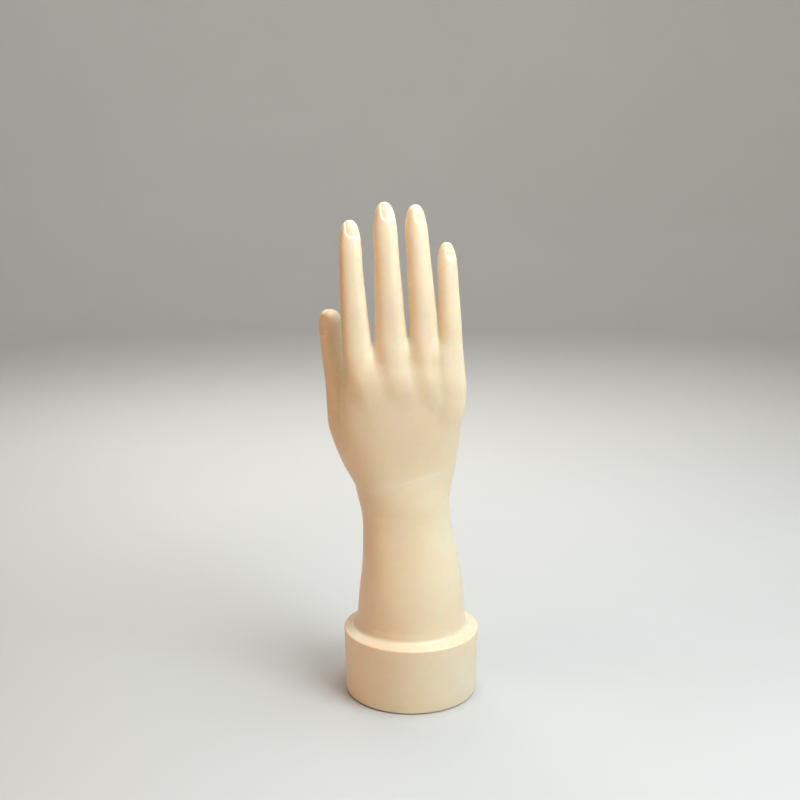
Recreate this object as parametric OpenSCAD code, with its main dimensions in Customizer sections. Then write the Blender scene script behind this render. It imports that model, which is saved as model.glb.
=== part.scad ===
// Display hand on a round weighted base: a hollow moulded right hand and forearm,
// joined at the wrist by a hidden sleeve. The forearm's round foot turns in a recess of
// the base on a bushed pivot, held by one bolt and a wave washer.
// Frame: +Z up, origin on the base's axis at the resting face. The back of the hand
// faces -Y and the thumb is on the -X side. Millimetres.

/* [Base] */
// Diameter of the base across its upper rim
base_d = 85; // [76:0.5:110]
// Height of the base's outer rim above the resting face
base_h = 42; // [38:0.5:60]
// How far the ledge climbs from the rim to the forearm's foot
ledge_rise = 1.7; // [0:0.1:3]
// How much the base's diameter shrinks from the rim to the bottom
base_draft = 2.6; // [0:0.2:4]
// Thickness of the base's side wall at the bottom
base_wall = 3.4; // [2.6:0.1:5]
// Depth of the recess that the forearm's foot turns in
recess_depth = 3; // [2:0.5:5]
// Thickness of the deck under the forearm's foot
deck_t = 4; // [3:0.5:6]
// Rounding along the base's rim
rim_round = 1.3; // [0.5:0.1:2]
// Thickness of the ballast ring
ballast_t = 13; // [8:0.5:15]
// Thickness of the closing plate under the ballast
cover_t = 4; // [3:0.5:6]
// Thickness of the rubber pad that the base stands on
pad_t = 2; // [1.5:0.1:4]

/* [Pivot] */
// Radius of the pivot spigot under the forearm
spigot_r = 9; // [7.5:0.1:12]
// Wall of the bush that the spigot turns in
bush_wall = 2.9; // [2:0.1:4]
// Radius of the pivot bolt's shank
bolt_r = 4; // [3:0.5:5]
// Width across the flats of the pivot bolt's head
bolt_af = 13; // [10:0.5:17]
// Radius of the shank of each cover screw
screw_r = 2; // [1.5:0.1:2.5]
// Number of cover screws
screw_count = 3; // [3:1:4]

/* [Forearm] */
// Height from the ledge to the narrowest part of the wrist
forearm_l = 74.3; // [60:0.1:100]
// Diameter of the forearm's round foot, where it stands on the base
foot_d = 68.6; // [60:0.2:70]
// Width of the wrist at its narrowest
wrist_w = 54.2; // [48:0.5:64]
// Depth of the wrist at its narrowest
wrist_t = 41.5; // [36:0.5:50]
// Wall of the hollow mouldings
arm_wall = 3; // [2:0.1:4]
// Radius of the fillet round the forearm's foot
foot_fillet = 1.6; // [1:0.1:2]

/* [Hand] */
// Width of the palm across the knuckles
palm_w = 74.4; // [64:0.5:90]
// Depth of the palm at the knuckles
palm_t = 27; // [23:0.5:33]
// Length from the wrist to the knuckle line
palm_l = 92; // [78:1:110]
// Length of the index finger from its knuckle to its tip
index_l = 91; // [76:0.5:110]
// Length of the middle finger from its knuckle to its tip
middle_l = 97.7; // [82:0.5:118]
// Length of the ring finger from its knuckle to its tip
ring_l = 99; // [82:0.5:118]
// Length of the little finger from its knuckle to its tip
little_l = 85; // [70:0.5:102]
// Length of the thumb from the heel of the hand to its tip
thumb_l = 107; // [90:0.5:125]
// Width of the middle finger at its middle joint
finger_w = 16.4; // [13.5:0.1:20]
// Width of the thumb at its nail
thumb_w = 17; // [14:0.1:20]
// Height of the seam's middle above the narrowest part of the wrist
seam_up = 22; // [16:0.5:28]
// Slope of the seam across the wrist, in degrees
seam_tilt = 15; // [0:0.5:18]

/* [Hidden] */
$fn = 64;

CREAM = [0.93, 0.85, 0.68];
NYLON = [0.88, 0.87, 0.82];
BRASS = [0.78, 0.62, 0.30];
STEEL = [0.66, 0.67, 0.69];
IRON = [0.30, 0.30, 0.31];
BLACK = [0.13, 0.13, 0.13];

// Clearances: between fixed pieces, in the running fit, between turning flat faces, and
// round the forearm's foot.
fit_gap = 0.2;
run_gap = 0.05;
face_gap = 0.05;
turn_gap = 0.3;
eps = 0.01;

// Heights in the base, from the resting face up.
edge_z = 0.5;
cover_z = pad_t;
ballast_z = cover_z + cover_t;
post_z = ballast_z + ballast_t;
ledge_z = base_h + ledge_rise;
recess_z = ledge_z - recess_depth;
deck_z = recess_z - deck_t;
glide_proud = 0.3;
foot_z = recess_z + glide_proud;

// Radii in the base, from the outside in.
base_r = base_d / 2;
bottom_r = base_r - base_draft / 2;
cavity_r = bottom_r - base_wall;
flange_r = foot_d / 2 + foot_fillet;
recess_r = flange_r + turn_gap;
lip_round = 0.5;
bush_r = spigot_r + run_gap + bush_wall;
boss_r = bush_r + 4;
glide_r = bush_r + 8;
glide_t = 1.3;
washer_t = 1.6;
washer_r = boss_r - 1.5;
wave_h = 1.4;
wave_t = 0.4;
bolt_head_h = 5.3;
boss_z = post_z + bolt_head_h + washer_t + wave_h - 2;
spigot_z = boss_z - wave_h;
ballast_in = boss_r + 1.5;
ballast_r = cavity_r - 1;
post_r = screw_r + 3;
post_at = (ballast_in + ballast_r) / 2;
screw_grip = 12;
screw_head_r = 2 * screw_r;

// The plug that closes the forearm, with its brass insert.
mouth_r = foot_d / 2 - arm_wall - 2;
plug_t = 8;
insert_r = bolt_r + 2.2;
insert_l = 16;
bolt_reach = 22;

// Heights up the arm.
wrist_z = ledge_z + forearm_l;
knuckle_z = wrist_z + palm_l;
seam_z = wrist_z + seam_up;
sleeve_h = 24;
sleeve_t = 2.4;

// Shape of the arm: offsets of the wrist and palm from the base's axis.
wrist_x = -3.2;
palm_x = -5.0;
palm_y = -6;
palm_power = 2.5;
palm_dome = 13.5;
hollow_dome = 12;
// Share of the way from foot to wrist in width, at shares of the forearm's height.
forearm_taper = [[0, 0], [0.3, 0.27], [0.6, 0.63], [0.85, 0.89], [1, 1]];
// Width of a finger along its length, as a share of its width at the middle joint.
finger_taper = [[0, 1.24], [0.25, 1.15], [0.38, 1.07], [0.5, 1], [0.7, 0.92], [0.85, 0.88]];
finger_flatness = 0.93;
tip_taper = 1.28;

// Each finger: knuckle across the palm as a share of its width, knuckle drop, length,
// sideways lean of the tip, sideways bow, and width as a share of finger_w.
FINGERS = [
    [-0.350, 4, index_l, -6.0, -1.6, 0.94],
    [-0.066, 0, middle_l, -5.3, 0.2, 1.00],
    [0.196, 3, ring_l, -7.0, 0.6, 0.95],
    [0.392, 11, little_l, -3.0, 0.8, 0.83],
];
tip_y = 5;
arch_y = -4;
root_y = -1;
// Height of each web above the knuckle line, and the thickness of the skin in it.
WEBS = [[0, 1, 9.5], [1, 2, 13.5], [2, 3, 12]];
web_r = 4.6;

// Thumb from the heel of the hand to its tip: share of its length, then centre across
// and behind the wrist's centre, half depth along X and half width along Y. The palm's
// width scales the places and the thumb's width scales the girth.
THUMB = [
    [0.00, [-19.0, 5.0, 8.5, 10.0]],
    [0.10, [-24.5, 8.0, 11.0, 11.5]],
    [0.22, [-31.0, 10.5, 12.6, 12.0]],
    [0.32, [-35.8, 12.5, 12.5, 11.6]],
    [0.42, [-38.6, 14.2, 11.2, 10.8]],
    [0.55, [-41.6, 15.8, 8.8, 9.6]],
    [0.68, [-44.2, 17.2, 7.5, 8.8]],
    [0.82, [-46.4, 18.2, 7.2, 8.6]],
    [1.00, [-47.6, 18.4, 7.2, 8.4]],
];
thumb_up = 16;
thumb_tip = 11;

function mix(a, b, t) = a + (b - a) * t;
function smooth(t) = let (x = min(max(t, 0), 1)) x * x * (3 - 2 * x);

// A smooth curve through knots [[t, value], ...], where a value may be a list.
function slope(k, i) =
    let (a = max(i - 1, 0), b = min(i + 1, len(k) - 1))
    (k[b][1] - k[a][1]) / (k[b][0] - k[a][0]);
function curve(k, t) =
    let (last = len(k) - 1)
    t <= k[0][0] ? k[0][1] : t >= k[last][0] ? k[last][1] :
    let (i = max([for (j = [0:last - 1]) if (k[j][0] <= t) j]),
         h = k[i + 1][0] - k[i][0], u = (t - k[i][0]) / h)
    (2 * u * u * u - 3 * u * u + 1) * k[i][1] + (u * u * u - 2 * u * u + u) * h * slope(k, i)
    + (3 * u * u - 2 * u * u * u) * k[i + 1][1] + (u * u * u - u * u) * h * slope(k, i + 1);

// A closed outline round [cx, cy] with half sizes [rx, ry] and corner power n, at height z.
function spow(v, p) = sign(v) * pow(abs(v), p);
function outline(c, half, n, z, count) =
    [for (i = [0:count - 1]) let (a = 360 * i / count)
        [c[0] + half[0] * spow(cos(a), 2 / n), c[1] + half[1] * spow(sin(a), 2 / n), z]];

// Skins a stack of outlines into a solid; a wrapped stack closes on itself like a tube.
module skin(rings, wrapped = false) {
    n = len(rings[0]);
    m = len(rings);
    points = [for (ring = rings) each ring];
    sides = [for (j = [0:m - (wrapped ? 1 : 2)], i = [0:n - 1])
        let (a = j * n, b = ((j + 1) % m) * n, k = (i + 1) % n)
        each [[a + i, b + i, b + k], [a + i, b + k, a + k]]];
    ends = wrapped ? [] : [[for (i = [0:n - 1]) i], [for (i = [n - 1:-1:0]) (m - 1) * n + i]];
    polyhedron(points, concat(sides, ends), convexity = 8);
}

// Cross-section of the forearm and palm at height z: [centre, half sizes, power].
function trunk(z) = z < wrist_z
    ? let (s = (z - ledge_z) / forearm_l, f = curve(forearm_taper, s))
      [[wrist_x * smooth((s - 0.45) / 0.6), 0],
       [mix(foot_d, wrist_w, f) / 2, mix(foot_d, wrist_t, f) / 2],
       mix(2, 2.15, smooth(s))]
    : let (u = (z - wrist_z) / palm_l)
      [[mix(wrist_x, palm_x, smooth(u / 0.35)), palm_y * smooth((u - 0.1) / 0.9)],
       [mix(wrist_w, palm_w, smooth((u - 0.03) / 0.7)) / 2,
        mix(wrist_t, palm_t, smooth(u / 0.95)) / 2],
       mix(2.15, palm_power, smooth(u / 0.6))];

function shrunk(half, d) = [max(half[0] - d, 1), max(half[1] - d, 1)];
function trunk_outline(z, inset, count) =
    let (t = trunk(z)) outline(t[0], shrunk(t[1], inset), t[2], z, count);

// The seam's plane, and a trunk outline bent so that it lies a share f of the way up to it.
function seam_at(x) = seam_z + tan(seam_tilt) * (x - wrist_x);
function up_to_seam(f, x, from) = mix(from, seam_at(x), f);
function bent_point(f, a, inset, from, z, turns) =
    let (t = trunk(z), h = shrunk(t[1], inset),
         x = t[0][0] + h[0] * spow(cos(a), 2 / t[2]),
         y = t[0][1] + h[1] * spow(sin(a), 2 / t[2]),
         up = up_to_seam(f, x, from))
    turns == 0 ? [x, y, up] : bent_point(f, a, inset, from, up, turns - 1);
function bent_outline(f, inset, from, count) =
    [for (i = [0:count - 1])
        bent_point(f, 360 * i / count, inset, from, mix(from, seam_z, f), 4)];

// Half size of a dome at share u of its height.
function dome(u, power) = pow(max(1 - pow(u, power), 0), 1 / power);

module trunk_solid(inset, z0, z1, dome_h, steps, count) {
    top = trunk(z1);
    skin(concat(
        [for (i = [0:steps]) trunk_outline(mix(z0, z1, i / steps), inset, count)],
        [for (u = [0.35, 0.6, 0.8, 0.93, 0.99])
            let (h = shrunk(top[1], inset))
            outline(top[0], [h[0] * dome(u, 3.2), h[1] * dome(u, 2)], top[2],
                    z1 + u * dome_h, count)]));
}

// A finger's centre and half sizes at share t of its length.
function finger_root(f) =
    let (x = palm_x + f[0] * palm_w, z = knuckle_z - f[1]) [x, palm_y + root_y, z];
function finger_point(f, t) =
    finger_root(f) + [f[3] * t + f[4] * 4 * t * (1 - t),
                      tip_y * t * t + arch_y * 4 * t * (1 - t) * 0.5, f[2] * t];
function finger_half(f, t) = finger_w * f[5] * curve(finger_taper, t) / 2;
function tip_share(f) = tip_taper * finger_half(f, 0.85) * 2 / f[2];

module finger(f) {
    tip = tip_share(f);
    shaft = [for (i = [-2:9]) let (t = i * (1 - tip) / 9) [t, finger_half(f, t)]];
    domed = [for (u = [0.25, 0.45, 0.62, 0.76, 0.87, 0.95, 0.99])
        [1 - tip + u * tip, finger_half(f, 0.85) * dome(u, 2.1)]];
    skin([for (s = concat(shaft, domed))
        let (p = finger_point(f, s[0]))
        outline([p[0], p[1]], [s[1], s[1] * finger_flatness], 2, p[2], 24)]);
}

// The skin between two fingers, rising above the knuckle line.
module web(w) {
    top = knuckle_z + w[2] - web_r;
    hull() for (f = [FINGERS[w[0]], FINGERS[w[1]]]) {
        translate(finger_at(f, top)) sphere(web_r, $fn = 16);
        translate(finger_at(f, knuckle_z - 12)) sphere(web_r + 2, $fn = 16);
    }
}
function finger_at(f, z) = finger_point(f, (z - finger_root(f)[2]) / f[2]);

// Thumb centre and half sizes at share t of its length.
function thumb_at(t) =
    let (k = curve(THUMB, t), s = palm_w / 74.4, g = thumb_w / 17)
    [[wrist_x + k[0] * s, k[1] * s], [k[2] * g, k[3] * g], wrist_z + thumb_up + t * thumb_l];

module thumb() {
    tip = thumb_tip / thumb_l;
    shaft = [for (i = [0:16]) [i * (1 - tip) / 16, 1]];
    domed = [for (u = [0.3, 0.52, 0.7, 0.84, 0.94, 0.99]) [1 - tip + u * tip, dome(u, 2.2)]];
    skin([for (s = concat(shaft, domed))
        let (p = thumb_at(s[0]))
        outline(p[0], p[1] * s[1], 2, p[2], 28)]);
}

// A shallow lens that sinks a nail's plate into the back of a finger.
module nail_cut(w, l, depth) {
    lens = 0.45 * w;
    hull() for (z = [-1, 1])
        translate([0, depth - lens, z * (l - w) / 2])
            scale([w / 2, lens, w / 2]) sphere(1, $fn = 18);
}

module finger_nails() {
    for (f = FINGERS) {
        w = finger_w * f[5];
        t = 1 - 0.62 * tip_share(f);
        p = finger_point(f, t);
        front = finger_half(f, 0.85) * finger_flatness * dome(0.38, 2.1);
        translate([p[0], p[1] - front, p[2]]) rotate([-20, 0, 0]) nail_cut(0.62 * w, 0.78 * w, 0.6);
    }
}

module thumb_nail() {
    p = thumb_at(1 - 1.15 * thumb_tip / thumb_l);
    turn = -68;
    translate([p[0][0] - p[1][0] * 0.93, p[0][1] - p[1][1] * 0.38, p[2]])
        rotate([0, -5, turn]) nail_cut(0.64 * thumb_w, 0.85 * thumb_w, 0.6);
}

module hand_shell() color(CREAM) difference() {
    union() {
        trunk_solid(0, seam_z - 14, knuckle_z - 2, palm_dome, 12, 40);
        for (f = FINGERS) finger(f);
        for (w = WEBS) web(w);
        thumb();
    }
    trunk_solid(arm_wall, seam_z - 16, knuckle_z - 24, hollow_dome, 8, 32);
    below_seam();
    finger_nails();
    thumb_nail();
}

// Everything below the seam's plane.
module below_seam() {
    reach = 2 * palm_w;
    translate([wrist_x, 0, seam_z])
        rotate([0, -seam_tilt, 0])
            translate([-reach / 2, -reach / 2, eps - reach]) cube(reach);
}

// The hollow forearm in one skin: up the inside, over the seam, down the outside to the
// fillet and the round flange, and back to the mouth.
module forearm_shell() color(CREAM) {
    count = 48;
    steps = 12;
    plug_z = foot_z + plug_t + 1;
    mouth = [for (z = [foot_z, plug_z]) outline([0, 0], [mouth_r, mouth_r], 2, z, count)];
    inside = [for (i = [1:steps]) bent_outline(i / steps, arm_wall, plug_z, count)];
    outside = [for (i = [steps:-1:1]) bent_outline(i / steps, 0, ledge_z + foot_fillet, count)];
    fillet = [for (a = [0:22.5:90])
        let (r = foot_d / 2 + foot_fillet * (1 - cos(a)))
        outline([0, 0], [r, r], 2, ledge_z + foot_fillet * (1 - sin(a)), count)];
    foot = [outline([0, 0], [flange_r, flange_r], 2, foot_z, count)];
    skin(concat(foot, mouth, inside, outside, fillet), wrapped = true);
}

// A tapered tube glued inside both mouldings across the seam.
module wrist_sleeve() color(NYLON) {
    count = 40;
    steps = 6;
    z0 = seam_z - sleeve_h / 2;
    skin(concat(
        [for (i = [0:steps]) trunk_outline(z0 + sleeve_h * i / steps,
                                           arm_wall + fit_gap + sleeve_t, count)],
        [for (i = [steps:-1:0]) trunk_outline(z0 + sleeve_h * i / steps,
                                              arm_wall + fit_gap, count)]),
        wrapped = true);
}

// A plain ring standing on z.
module ring(r_out, r_in, z, h) {
    translate([0, 0, z]) difference() {
        cylinder(r = r_out, h = h);
        translate([0, 0, -1]) cylinder(r = r_in, h = h + 2);
    }
}

module foot_plug() color(NYLON) {
    top = foot_z + plug_t;
    difference() {
        union() {
            translate([0, 0, foot_z]) cylinder(r = mouth_r - fit_gap, h = plug_t);
            translate([0, 0, spigot_z]) cylinder(r = spigot_r, h = foot_z - spigot_z + 1);
        }
        translate([0, 0, spigot_z - 1]) cylinder(r = bolt_r + fit_gap, h = top - spigot_z + 2);
        translate([0, 0, top - insert_l]) cylinder(r = insert_r, h = insert_l + 1);
    }
}

module threaded_insert() color(BRASS)
    ring(insert_r - eps, bolt_r, foot_z + plug_t - insert_l + eps, insert_l - eps);

module pivot_bolt() color(STEEL) {
    under = spigot_z - washer_t;
    translate([0, 0, under - bolt_head_h]) cylinder(d = bolt_af / cos(30), h = bolt_head_h, $fn = 6);
    translate([0, 0, under - 1]) cylinder(r = bolt_r - run_gap, h = bolt_reach + 1);
}

module flat_washer() color(STEEL)
    ring(washer_r, bolt_r + fit_gap, spigot_z - washer_t, washer_t);

// A ring pressed into three waves, which keeps a steady drag on the pivot.
function wave_ring(r, side) =
    let (mid = spigot_z + wave_h / 2, swing = (wave_h - wave_t) / 2 - run_gap)
    [for (i = [0:59]) let (a = 6 * i)
        [r * cos(a), r * sin(a), mid + swing * cos(3 * a) + side * wave_t / 2]];

module wave_washer() color(STEEL) {
    inner = spigot_r + 0.6;
    outer = washer_r - 0.5;
    skin([wave_ring(outer, 1), wave_ring(outer, -1), wave_ring(inner, -1), wave_ring(inner, 1)],
         wrapped = true);
}

module pivot_bush() color(NYLON) {
    top = foot_z - face_gap;
    difference() {
        union() {
            translate([0, 0, boss_z]) cylinder(r = bush_r - run_gap, h = top - boss_z);
            translate([0, 0, top - glide_t]) cylinder(r = glide_r, h = glide_t);
        }
        translate([0, 0, boss_z - 1]) cylinder(r = spigot_r + run_gap, h = top - boss_z + 2);
    }
}

// Points of a quarter round from angle a0 to a1.
function arc(c, r, a0, a1, n = 5) =
    [for (i = [0:n]) let (a = mix(a0, a1, i / n)) [c[0] + r * cos(a), c[1] + r * sin(a)]];

module at_posts() {
    for (i = [0:screw_count - 1]) rotate(90 + 360 * i / screw_count) translate([post_at, 0, 0]) children();
}

module base_shell() color(CREAM) difference() {
    union() {
        rotate_extrude() polygon(concat(
            arc([bottom_r - rim_round, edge_z + rim_round], rim_round, -90, 0),
            arc([base_r - rim_round, base_h - rim_round], rim_round, 0, 90),
            arc([recess_r + lip_round, ledge_z - lip_round], lip_round, 90, 180),
            [[recess_r, recess_z],
             [glide_r + fit_gap, recess_z], [glide_r + fit_gap, foot_z - glide_t - face_gap],
             [bush_r, foot_z - glide_t - face_gap], [bush_r, boss_z], [boss_r, boss_z],
             [boss_r, deck_z], [cavity_r, deck_z], [cavity_r, edge_z]]));
        at_posts() translate([0, 0, post_z]) cylinder(r = post_r, h = deck_z - post_z + 1);
    }
    at_posts() translate([0, 0, post_z - 1]) cylinder(r = screw_r + run_gap, h = screw_grip + 1);
}

module ballast_ring() color(IRON) difference() {
    ring(ballast_r, ballast_in, ballast_z, ballast_t);
    at_posts() translate([0, 0, ballast_z - 1]) cylinder(r = screw_r + fit_gap, h = ballast_t + 2);
}

module bottom_cover() color(NYLON) difference() {
    translate([0, 0, cover_z]) cylinder(r = cavity_r - fit_gap, h = cover_t);
    at_posts() {
        translate([0, 0, cover_z - 1]) cylinder(r = screw_r + fit_gap, h = cover_t + 2);
        translate([0, 0, cover_z - eps])
            cylinder(r1 = screw_head_r + fit_gap, r2 = screw_r + fit_gap, h = screw_r);
    }
}

module cover_screws() color(STEEL) at_posts() difference() {
    union() {
        translate([0, 0, cover_z + face_gap]) cylinder(r1 = screw_head_r, r2 = screw_r, h = screw_r);
        translate([0, 0, cover_z + 1]) cylinder(r = screw_r, h = cover_t + ballast_t + screw_grip - 3);
    }
    for (turn = [0, 90]) rotate(turn)
        translate([-screw_r, -0.4, cover_z]) cube([2 * screw_r, 0.8, 1.3]);
}

module foot_pad() color(BLACK) cylinder(r = cavity_r - fit_gap, h = pad_t);

hand_shell();
forearm_shell();
wrist_sleeve();
foot_plug();
threaded_insert();
pivot_bolt();
flat_washer();
wave_washer();
pivot_bush();
base_shell();
ballast_ring();
bottom_cover();
cover_screws();
foot_pad();
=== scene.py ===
"""Looks of a display hand on a turning base: one smooth surface for the hand and forearm,
cut at the wrist joint, a turned base, and materials for the hardware inside.

Sizes are in millimetres until a mesh is made, then metres. The back of the hand faces -Y.
"""

import math

import bmesh
import bpy
import numpy as np
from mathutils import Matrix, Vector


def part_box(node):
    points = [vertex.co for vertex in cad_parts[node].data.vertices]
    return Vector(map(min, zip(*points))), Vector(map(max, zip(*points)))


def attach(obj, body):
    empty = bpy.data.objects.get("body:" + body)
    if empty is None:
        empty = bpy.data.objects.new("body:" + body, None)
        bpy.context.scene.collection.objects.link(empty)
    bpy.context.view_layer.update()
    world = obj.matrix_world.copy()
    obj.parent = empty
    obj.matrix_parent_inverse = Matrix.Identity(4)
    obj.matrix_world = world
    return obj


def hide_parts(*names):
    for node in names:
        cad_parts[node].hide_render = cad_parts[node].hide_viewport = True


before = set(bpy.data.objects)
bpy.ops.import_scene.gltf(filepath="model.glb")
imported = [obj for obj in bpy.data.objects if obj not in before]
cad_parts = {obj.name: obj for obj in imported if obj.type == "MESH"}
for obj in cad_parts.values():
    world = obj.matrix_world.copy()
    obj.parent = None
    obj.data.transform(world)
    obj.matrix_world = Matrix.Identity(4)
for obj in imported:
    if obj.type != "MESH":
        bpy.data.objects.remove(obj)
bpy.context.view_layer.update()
MM = 0.001


# ---------------------------------------------------------------- sizes, in millimetres

LEDGE_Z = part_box("base_shell")[1].z / MM
BASE_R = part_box("base_shell")[1].y / MM
FOOT_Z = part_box("forearm_shell")[0].z / MM
FLANGE_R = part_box("forearm_shell")[1].x / MM

FOOT_FILLET = 1.6
FOOT_R = FLANGE_R - FOOT_FILLET
FOREARM_L = 74.3
WRIST_Z = LEDGE_Z + FOREARM_L
WRIST_W, WRIST_T = 54.2, 41.5
PALM_L, PALM_W, PALM_T = 92.0, 74.4, 27.0
KNUCKLE_Z = WRIST_Z + PALM_L
WRIST_X, PALM_X, PALM_Y = -3.2, -5.0, -6.0
WALL = 3.0

SEAM_Z = WRIST_Z + 22.0
SEAM_SLOPE = math.tan(math.radians(15.0))

FINGER_W = 16.4
FLATNESS, PAD_FULLNESS = 0.93, 1.06
TIP_Y, ARCH_Y, ROOT_Y = 5.0, -4.0, -1.0
TIP_SHARE, TIP_BLUNT = 1.38, 2.45


def curve(knots, t):
    """A smooth curve through knots (t, value), held level past both ends."""
    at = np.array([k[0] for k in knots], float)
    value = np.array([k[1] for k in knots], float)
    before = np.maximum(np.arange(len(at)) - 1, 0)
    after = np.minimum(np.arange(len(at)) + 1, len(at) - 1)
    slope = (value[after] - value[before]) / (at[after] - at[before])
    t = np.clip(t, at[0], at[-1])
    i = np.clip(np.searchsorted(at, t, side="right") - 1, 0, len(at) - 2)
    h = at[i + 1] - at[i]
    u = (t - at[i]) / h
    u2 = u * u
    u3 = u2 * u
    return (
        (2 * u3 - 3 * u2 + 1) * value[i]
        + (u3 - 2 * u2 + u) * h * slope[i]
        + (3 * u2 - 2 * u3) * value[i + 1]
        + (u3 - u2) * h * slope[i + 1]
    )


def mix(a, b, t):
    return a + (b - a) * t


def smooth(t):
    t = np.clip(t, 0.0, 1.0)
    return t * t * (3 - 2 * t)


def join(a, b, k):
    """Union of two fields with a fillet about k wide."""
    h = np.clip(0.5 + 0.5 * (b - a) / k, 0.0, 1.0)
    return mix(b, a, h) - k * h * (1 - h)


def carve(a, b, k):
    """Field a with field b taken out, with a rounded edge about k wide."""
    return -join(-a, b, k)


# ---------------------------------------------------------------- the hand's surface


def capped_field(dx, dy, rise, a, b, cap, power=2.0, blunt=2.0):
    """Rough distance to a shaft with a domed end, negative inside.

    Its section is a superellipse of half sizes a and b. rise is the height above the foot of
    the dome, cap is the dome's height, and a larger blunt makes the dome squarer.
    """
    u = np.abs(dx) / a + 1e-9
    v = np.abs(dy) / b + 1e-9
    w = np.maximum(rise, 0.0) / cap
    q = (u**power + v**power) ** (1 / power)
    total = (q**blunt + w**blunt) ** (1 / blunt)
    level = (q / total) ** (blunt - 1) * q ** (1 - power)
    gx = level * u ** (power - 1) / a
    gy = level * v ** (power - 1) / b
    gz = (w / total) ** (blunt - 1) / cap
    return (total - 1) / np.maximum(np.sqrt(gx**2 + gy**2 + gz**2), 1e-6)


def ball_field(dx, dy, dz, a, b, c):
    """Rough distance to an ellipsoid, negative inside."""
    q = np.sqrt((dx / a) ** 2 + (dy / b) ** 2 + (dz / c) ** 2) + 1e-9
    slope = np.sqrt((dx / a**2) ** 2 + (dy / b**2) ** 2 + (dz / c**2) ** 2) / q
    return (q - 1) / np.maximum(slope, 1e-6)


FOREARM_TAPER = [(0, 0), (0.3, 0.23), (0.6, 0.6), (0.85, 0.89), (1, 1)]
# Sideways shift of the palm from the straight line between wrist and knuckles.
PALM_BOW = [(0, 0), (0.15, -0.9), (0.3, -2.2), (0.45, -2.4), (0.65, -1.5), (0.85, -0.7)]
# How far the wrist's bend sets the palm back from the knuckles.
PALM_SET = [(-0.3, 0), (0.0, 1.2), (0.28, 2.6), (0.6, 1.4), (1.0, 0)]
TRUNK_TOP = KNUCKLE_Z - 14.0
TRUNK_DOME = 17.0


def trunk_section(z):
    """Centre, half sizes and corner power of the forearm and palm at height z."""
    s = (z - LEDGE_Z) / FOREARM_L
    u = (z - WRIST_Z) / PALM_L
    f = curve(FOREARM_TAPER, s)
    low = z < WRIST_Z
    palm_x = mix(WRIST_X, PALM_X, smooth(u / 0.35)) + curve(PALM_BOW, u)
    cx = np.where(low, WRIST_X * smooth((s - 0.45) / 0.6), palm_x)
    cy = np.where(low, 0.0, PALM_Y * smooth((u - 0.1) / 0.9)) + curve(PALM_SET, u)
    a = np.where(
        low,
        mix(FOOT_R, WRIST_W / 2, f),
        mix(WRIST_W, PALM_W, smooth((u - 0.03) / 0.7)) / 2,
    )
    b = np.where(low, mix(FOOT_R, WRIST_T / 2, f), mix(WRIST_T, PALM_T, smooth(u / 0.95)) / 2)
    power = np.where(low, mix(2.0, 2.15, smooth(s)), mix(2.15, 2.5, smooth(u / 0.6)))
    return cx, cy, a, b, power


def trunk_field(p):
    x, y, z = p
    cx, cy, a, b, power = trunk_section(np.minimum(z, TRUNK_TOP))
    return capped_field(x - cx, y - cy, z - TRUNK_TOP, a, b, TRUNK_DOME, power, 2.4)


# Each finger: knuckle across the palm as a share of its width, knuckle drop, length,
# sideways lean of the tip, sideways bow, width as a share of FINGER_W, how far its back
# faces round to the right in degrees, and how far the ridge below it drifts to the right.
FINGERS = {
    "index": (-0.350, 4.0, 91.0, -6.0, -1.0, 0.94, 8.0, 28.0),
    "middle": (-0.085, 0.0, 97.5, -5.5, 0.0, 1.00, 6.0, 28.0),
    "ring": (0.183, 3.0, 99.0, -7.4, 0.4, 0.95, 18.0, 22.0),
    "little": (0.375, 11.0, 85.0, -2.9, 0.8, 0.84, 16.0, -6.0),
}
# Half width and half depth along a finger, as shares of its half width at the middle
# joint. Negative places run down inside the palm as the knuckle's ridge.
WIDTH_ALONG = [
    (-0.5, 0.95),
    (-0.2, 1.18),
    (0.0, 1.28),
    (0.12, 1.27),
    (0.22, 1.18),
    (0.32, 1.09),
    (0.44, 1.03),
    (0.52, 0.99),
    (0.66, 0.915),
    (0.78, 0.885),
    (0.86, 0.86),
]
DEPTH_ALONG = [
    (-0.5, 1.20),
    (-0.2, 1.46),
    (0.0, 1.45),
    (0.10, 1.32),
    (0.20, 1.14),
    (0.32, 1.03),
    (0.44, 1.00),
    (0.52, 0.95),
    (0.66, 0.87),
    (0.78, 0.85),
    (0.86, 0.83),
]


# The ridge that runs on down from each knuckle: how it sinks, its length and its domed end.
RIDGE_SINK, RIDGE_L, RIDGE_END = 9.0, 12.0, 16.0


def finger_spine(f, z):
    """Share along the finger and its centre at height z."""
    across, drop, length, lean, bow, _, _, drift = f
    t = (z - (KNUCKLE_Z - drop)) / length
    inside = np.maximum(t, 0.0)
    bent = 4 * inside * (1 - inside)
    # Below the knuckle the ridge sinks into the hand and drifts to the right.
    below = np.clip(-t, 0.0, (RIDGE_L + RIDGE_END) / length)
    cx = PALM_X + across * PALM_W + lean * t + bow * bent + drift * below
    cy = PALM_Y + ROOT_Y + TIP_Y * inside**2 + 0.5 * ARCH_Y * bent + RIDGE_SINK * below
    return t, cx, cy


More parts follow.
